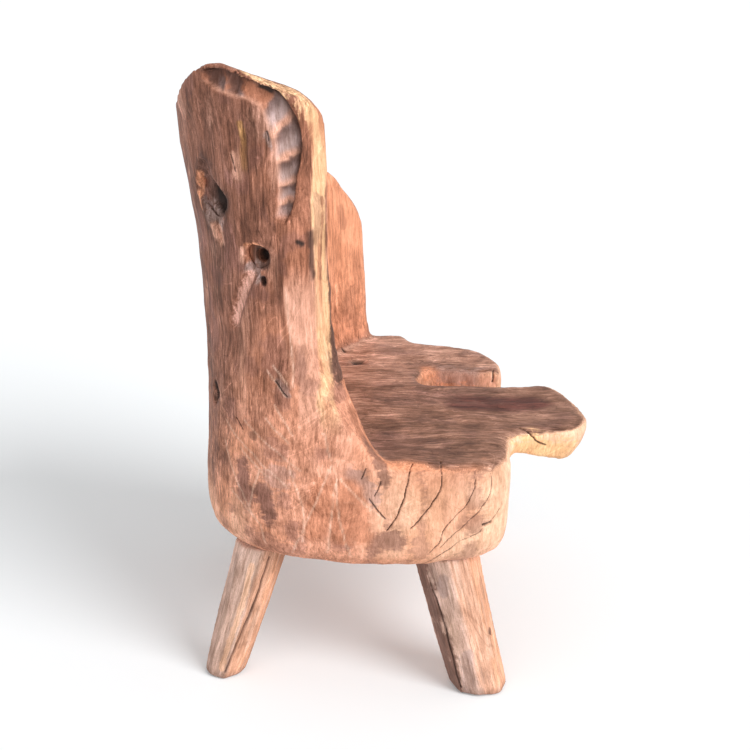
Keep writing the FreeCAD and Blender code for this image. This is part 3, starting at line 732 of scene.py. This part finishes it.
def paint_wood(mesh, colour, growth, stain_and_shade_colour, stain_and_shade, contrast):
    """Colours of the wood and of its stains and painted shade and light, how strong these are, where the
    grain is read, and how much it stands out."""
    solid = np.ones((len(colour), 1))
    for name, values in (("wood_colour", colour), ("stain_and_shade_colour", stain_and_shade_colour)):
        values = np.clip(values, DARKEST, LIGHTEST)
        paint(mesh, name, "FLOAT_COLOR", np.concatenate([values, solid], axis=1))
    paint(mesh, "stain_and_shade", "FLOAT", stain_and_shade)
    paint(mesh, "contrast", "FLOAT", np.broadcast_to(contrast, len(colour)))
    paint(mesh, "growth", "FLOAT_VECTOR", growth)
    mesh.polygons.foreach_set("use_smooth", np.ones(len(mesh.polygons), bool))
    mesh.update()


# The fine streaks of the fibres, then the figure over them, as bands, pores, specks, mottling and pale
# threads: scale, detail, how long it is drawn along the grain, and for the figure the part of the noise
# that counts and how dark and light it gets.
FIBRES = (330, 5, 14)
FIGURE = (
    (75, 3, 14, 0.30, 0.70, 0.82, 1.18),
    (1000, 2, 14, 0.36, 0.46, 0.68, 1.00),
    (700, 2, 1, 0.30, 0.70, 0.86, 1.14),
    (30, 6, 2, 0.36, 0.64, 0.74, 1.20),
    (150, 2, 22, 0.60, 0.70, 1.00, 1.26),
)
# Hairlines across the grain: how many degrees they lean, and how bright they are.
HAIRLINES = ((-26, 1.4), (18, 0.7))
# Darker streaks are warmer: the powers that their level is raised to for red, green and blue.
WARMTH = (1, 1.16, 1.32)
# The little gloss that dry wood has, and how far its fibres stand up and how plainly.
GLOSS = 0.3
FIBRE_RELIEF = 0.0011
FIBRE_PLAINNESS = 0.5


def wood_material(name, streak, roughness):
    """Dry wood: its colour, stains and painted shade and light, broken by long streaks, fine pores and a
    rough surface.
    """
    material = bpy.data.materials.new(name)
    material.use_nodes = True
    nodes, links = material.node_tree.nodes, material.node_tree.links
    shader = nodes["Principled BSDF"]
    shader.inputs["Roughness"].default_value = roughness
    shader.inputs["Specular IOR Level"].default_value = GLOSS

    def attribute(name):
        node = nodes.new("ShaderNodeAttribute")
        node.attribute_name = name
        return node

    def stretched(length, lean=0):
        leaning = nodes.new("ShaderNodeMapping")
        leaning.inputs["Rotation"].default_value = (0, math.radians(lean), 0)
        links.new(place, leaning.inputs["Vector"])
        node = nodes.new("ShaderNodeMapping")
        node.inputs["Scale"].default_value = (1, 1, 1 / length)
        links.new(leaning.outputs["Vector"], node.inputs["Vector"])
        return node.outputs["Vector"]

    def noise(scale, detail, source, warp=0.4):
        node = nodes.new("ShaderNodeTexNoise")
        settings = {"Scale": scale, "Detail": detail, "Roughness": 0.62, "Distortion": warp}
        for socket, value in settings.items():
            node.inputs[socket].default_value = value
        links.new(source, node.inputs["Vector"])
        return node.outputs["Fac"]

    def spread(value, low, high, dark, light):
        node = nodes.new("ShaderNodeMapRange")
        for socket, number in zip(("From Min", "From Max", "To Min", "To Max"), (low, high, dark, light)):
            node.inputs[socket].default_value = number
        links.new(value, node.inputs["Value"])
        return node.outputs["Result"]

    def combine(kind, first, second, node_type="ShaderNodeMath"):
        node = nodes.new(node_type)
        node.operation = kind
        links.new(first, node.inputs[0])
        links.new(second, node.inputs[1])
        return node.outputs[0]

    place = attribute("growth").outputs["Vector"]
    scale, detail, length = FIBRES
    fine = noise(scale, detail, stretched(length))
    level = spread(fine, 0.3, 0.7, 1 - streak, 1 + streak)
    for scale, detail, length, low, high, dark, light in FIGURE:
        layer = spread(noise(scale, detail, stretched(length)), low, high, dark, light)
        level = combine("MULTIPLY", level, layer)
    for lean, bright in HAIRLINES:
        drawn = noise(46, 1, stretched(30, lean), 0.1)
        line = combine("MULTIPLY", spread(drawn, 0.484, 0.5, 0, 1), spread(drawn, 0.5, 0.516, 1, 0))
        here = spread(noise(22, 1, stretched(3, lean)), 0.52, 0.6, 0, 1)
        level = combine("MULTIPLY", level, spread(combine("MULTIPLY", line, here), 0, 1, 1, bright))
    level = combine("POWER", level, attribute("contrast").outputs["Fac"])

    edge = spread(noise(70, 6, stretched(1.4)), 0.3, 0.7, -0.52, 0.46)
    stain_and_shade_mix = spread(combine("ADD", attribute("stain_and_shade").outputs["Fac"], edge), 0.30, 0.70, 0, 1)
    colour = nodes.new("ShaderNodeMix")
    colour.data_type = "RGBA"
    sockets = {socket.identifier: socket for socket in list(colour.inputs) + list(colour.outputs)}
    links.new(stain_and_shade_mix, sockets["Factor_Float"])
    links.new(attribute("wood_colour").outputs["Color"], sockets["A_Color"])
    links.new(attribute("stain_and_shade_colour").outputs["Color"], sockets["B_Color"])
    warm = nodes.new("ShaderNodeCombineXYZ")
    for channel, power in zip("XYZ", WARMTH):
        deeper = nodes.new("ShaderNodeMath")
        deeper.operation = "POWER"
        deeper.inputs[1].default_value = power
        links.new(level, deeper.inputs[0])
        links.new(deeper.outputs["Value"], warm.inputs[channel])
    tinted = combine("MULTIPLY", sockets["Result_Color"], warm.outputs["Vector"], "ShaderNodeVectorMath")
    links.new(tinted, shader.inputs["Base Color"])
    bump = nodes.new("ShaderNodeBump")
    bump.inputs["Strength"].default_value = FIBRE_PLAINNESS
    bump.inputs["Distance"].default_value = FIBRE_RELIEF
    links.new(fine, bump.inputs["Height"])
    links.new(bump.outputs["Normal"], shader.inputs["Normal"])
    return material


# The grain stands out most in dark wood, and little in the crescent.
SEAT_CONTRAST = 1.2
GROOVE_CONTRAST = 0.6
contrast = np.interp(wood.mean(axis=1), [0.08, 0.18, 0.42], [1.45, 1.3, 0.6])
contrast += 0.2 * outside * fall(x, -0.10, -0.02) * fall(z, 0.38, 0.46) - 0.15 * low_front
contrast = contrast * (1 - patina) + SEAT_CONTRAST * patina
contrast = contrast * (1 - in_groove) + GROOVE_CONTRAST * in_groove
paint_wood(mesh, wood, growth, stained_and_shaded_wood, stain_and_shade, contrast)
mesh.materials.append(wood_material("carved_trunk_wood", streak=0.5, roughness=0.62))
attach(trunk, "root")
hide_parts("trunk_body")


# The legs: four billets split and hewn with an axe, each driven into the block by a round tenon.
# The axe left flat facets, the feet are worn round, and long drying cracks follow the grain.
LEG_SKIN = 0.0025
LEG_WEAR_ROUNDS = 4
FOOT_WEAR_ROUNDS = 12
LEGS = {
    "front_right_leg": ((69, -154, 172), (111.6, -189.8, 0)),
    "front_left_leg": ((69, 150, 172), (105.4, 187.7, 0)),
    "rear_right_leg": ((-151, -134, 172), (-201.4, -157.5, 0)),
    "rear_left_leg": ((-143, 138, 172), (-170.7, 182.4, 0)),
}
LEG_CRACK_HALF = 0.0010
LEG_CRACK_DEPTH = 0.003
LEG_CRACK_SKIRT = 0.006
LEG_CRACKS = {
    "front_right_leg": [(45, -185, 154), (53, -191, 131), (62, -196, 109), (73, -203, 73), (83, -211, 28),
                        (89, -215, 9)],
    "front_left_leg": [(60, 185, 150), (72, 200, 100), (88, 215, 40), (94, 220, 12)],
    "rear_right_leg": [(-142, -162, 160), (-161, -169, 104), (-180, -175, 58), (-192, -179, 31),
                       (-199, -182, 10)],
    "rear_left_leg": [(-176, 152, 150), (-186, 170, 90), (-196, 186, 30)],
}
LEG_WOOD = shade(210, 172, 154)
LEG_FRONT = shade(223, 164, 131)
LEG_REAR_PALE_AND_LIT = shade(222, 184, 166)
LEG_DARK = shade(150, 126, 116)
LEG_PALE = shade(236, 200, 180)
LEG_CONTRAST = 0.8
LEG_STAINS_AND_SHADING = {
    "front_right_leg": [(ASH, 6, 0.5, [(66, -195, 148), (68, -197, 129)]),
                        (ASH, 7, 0.45, [(95, -214, 52), (99, -219, 11)]),
                        # Painted shade down the leg's facet turned to the rear, away from the light.
                        (UMBER, 13, 0.85, [(36, -175, 150), (58, -190, 80), (78, -205, 10)]),
                        (UMBER, 4, 0.8, [(124, -193, 74)])],
    "rear_right_leg": [(PEACH, 3, 0.8, [(-164, -166, 151), (-175, -171, 106), (-192, -176, 53),
                                        (-204, -179, 15)]),
                       # Painted shade down this leg's facet turned to the rear.
                       (UMBER, 7, 0.25, [(-184, -153, 151), (-197, -159, 99), (-213, -161, 44),
                                         (-221, -166, 12)])],
}
leg_wood = wood_material("hewn_leg_wood", streak=0.42, roughness=0.68)
for number, (node, (top, foot)) in enumerate(LEGS.items()):
    leg = even_skin(node, node + "_hewn", LEG_SKIN)
    mesh = leg.data
    points = read(mesh)
    finer(mesh, from_line(points, LEG_CRACKS[node], read(mesh, "normal")) < LEG_CRACK_SKIRT)
    points = read(mesh)
    edges = neighbours(mesh)
    standing = fall(points[:, 2], 0.160, 0.172)
    points = worn(points, edges, LEG_WEAR_ROUNDS, WEAR * standing)
    points = worn(points, edges, FOOT_WEAR_ROUNDS, WEAR * fall(points[:, 2], 0.004, 0.022))
    write(mesh, points)
    facing = read(mesh, "normal")

    # The grain runs along the leg, and each leg is from another part of the wood.
    axis = np.array(top) - np.array(foot)
    axis = axis / np.linalg.norm(axis)
    local = points - np.array(foot) / 1000
    height = local @ axis
    local = local - height[:, None] * axis
    local[:, 2] += height
    local += number
    lift = 0.0011 * rough(local, (0.02, 0.02, 0.09), 41)
    height, tone = cups(local, (0.022, 0.022, 0.075), 42)
    lift += 0.0018 * (height - 0.4)
    wander = 0.001 * rough(points, 0.012, 43)[:, None]
    crack = np.exp(-((from_line(points + wander, LEG_CRACKS[node], facing) / LEG_CRACK_HALF) ** 2))
    points = points + facing * ((lift - LEG_CRACK_DEPTH * crack) * standing)[:, None]
    low = points[:, 2].min()
    points[:, 2] = np.maximum(points[:, 2] - low * fall(points[:, 2], 0.0, 0.05), 0)
    write(mesh, points)

    streaks = rough(local, (0.008, 0.008, 0.08), 44) + 0.6 * rough(local, (0.004, 0.004, 0.03), 45)
    colour = all_over(LEG_WOOD, points)
    colour = blend(colour, LEG_FRONT, ramp(facing[:, 0] - 0.3 * facing[:, 1], 0.35, 0.8))
    # The faces turned to the rear are paler: partly the wood's own tone, partly painted light lifting their
    # shade.
    colour = blend(colour, LEG_REAR_PALE_AND_LIT, fall(facing[:, 0], -0.6, -0.25))
    colour = blend(colour, LEG_DARK, 0.45 * ramp(streaks, 0.3, 0.8))
    colour = blend(colour, LEG_PALE, 0.4 * fall(streaks, -0.8, -0.35))
    colour = blend(colour, UMBER, 0.5 * fall(points[:, 2], 0.002, 0.014))
    stained_and_shaded_wood = colour.copy()
    stain_and_shade = np.zeros(len(points))
    for leg_mark_colour, width, strength, line in LEG_STAINS_AND_SHADING.get(node, []):
        reach = stain_and_shade_reach(points, line, width, facing)
        stained_and_shaded_wood = np.where((reach > stain_and_shade)[:, None], blend(colour, leg_mark_colour, strength), stained_and_shaded_wood)
        stain_and_shade = np.maximum(stain_and_shade, reach)
    wear = (1 + 0.12 * tone)[:, None]
    # Painted shade darkens the cracks.
    colour = blend(colour * wear, DEEP_SHADE, 0.75 * crack)
    stained_and_shaded_wood = blend(stained_and_shaded_wood * wear, DEEP_SHADE, 0.75 * crack)
    paint_wood(mesh, colour, local, stained_and_shaded_wood, stain_and_shade, LEG_CONTRAST)
    mesh.materials.append(leg_wood)
    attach(leg, "root")
    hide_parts(node)


# The wedges: thin slips of split hardwood with eased edges, one in the kerf of each tenon.
# A slip spreads its tenon in the blind mortise as the leg is driven home.
WEDGES = ("front_right_wedge", "front_left_wedge", "rear_right_wedge", "rear_left_wedge")
WEDGE_EASE = 0.0004
WEDGE_PALE = shade(206, 176, 146)
wedge_wood = wood_material("wedge_slip_wood", streak=0.2, roughness=0.7)
for number, node in enumerate(WEDGES):
    work = on_bench(node)
    bmesh.ops.bevel(work, geom=list(work.edges), offset=WEDGE_EASE, segments=2, affect="EDGES", profile=0.5)
    mesh = off_bench(work, node)
    mesh.materials.clear()
    wedge = in_scene(node + "_slip", mesh)
    points = read(mesh)
    colour = all_over(WEDGE_PALE, points)
    paint_wood(mesh, colour, points + number, colour, np.zeros(len(points)), 1)
    mesh.materials.append(wedge_wood)
    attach(wedge, "root")
    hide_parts(node)


# The studio: a white paper floor under soft light from the right and front, seen from the chair's right
# side and a little above. The paper and the white behind it are seen brighter than the light they give.
FLOOR_HALF = 8
PAPER_WHITE = (0.84, 0.865, 0.88, 1)
PAPER_GLOW = 0.13
SKY_LIGHT = 0.55
SKY_GLOW = 0.45
sheet = bpy.data.meshes.new("floor")
sheet.from_pydata(
    [(-FLOOR_HALF, -FLOOR_HALF, 0), (FLOOR_HALF, -FLOOR_HALF, 0), (FLOOR_HALF, FLOOR_HALF, 0),
     (-FLOOR_HALF, FLOOR_HALF, 0)], [], [(0, 1, 2, 3)])
floor = in_scene("floor", sheet)
paper = bpy.data.materials.new("white_paper")
paper.use_nodes = True
shader = paper.node_tree.nodes["Principled BSDF"]
shader.inputs["Base Color"].default_value = PAPER_WHITE
shader.inputs["Roughness"].default_value = 1
shader.inputs["Specular IOR Level"].default_value = 0
shader.inputs["Emission Color"].default_value = (1, 1, 1, 1)


def seen_only(tree, more, always):
    """A strength of always, and of more besides for the rays that show the backdrop."""
    rays = tree.nodes.new("ShaderNodeLightPath")
    seen = rays.outputs["Is Camera Ray"]
    for mirrored in ("Is Glossy Ray", "Is Transmission Ray"):
        either = tree.nodes.new("ShaderNodeMath")
        either.operation = "MAXIMUM"
        tree.links.new(seen, either.inputs[0])
        tree.links.new(rays.outputs[mirrored], either.inputs[1])
        seen = either.outputs["Value"]
    strength = tree.nodes.new("ShaderNodeMath")
    strength.operation = "MULTIPLY_ADD"
    strength.inputs[1].default_value = more
    strength.inputs[2].default_value = always
    tree.links.new(seen, strength.inputs[0])
    return strength.outputs["Value"]


paper.node_tree.links.new(seen_only(paper.node_tree, PAPER_GLOW, 0), shader.inputs["Emission Strength"])
sheet.materials.append(paper)

world = bpy.data.worlds.new("studio")
bpy.context.scene.world = world
world.use_nodes = True
background = world.node_tree.nodes["Background"]
background.inputs["Color"].default_value = (1, 1, 1, 1)
world.node_tree.links.new(seen_only(world.node_tree, SKY_GLOW, SKY_LIGHT), background.inputs["Strength"])

# Each lamp's strength, how many degrees of the sky it fills, and where it shines from.
LAMPS = {"soft_key": (2.35, 35, (0.63, -0.52, 0.60)), "soft_fill": (0.5, 90, (-0.1, -0.9, 0.4))}
for name, (strength, breadth, source) in LAMPS.items():
    lamp = bpy.data.lights.new(name, "SUN")
    lamp.energy = strength
    lamp.angle = math.radians(breadth)
    in_scene(name, lamp).rotation_euler = Vector(source).to_track_quat("Z", "Y").to_euler()

SENSOR_WIDTH = 36
LENS_LENGTH = 96.6
CAMERA_PLACE = (-0.015, -2.3153, 1.3131)
CAMERA_DIP = 23
lens = bpy.data.cameras.new("photo_camera")
lens.sensor_width = SENSOR_WIDTH
lens.lens = LENS_LENGTH
camera = in_scene("photo_camera", lens)
camera.location = CAMERA_PLACE
camera.rotation_euler = (math.radians(90 - CAMERA_DIP), 0, 0)
bpy.context.scene.camera = camera
bpy.context.scene.view_settings.view_transform = "Standard"
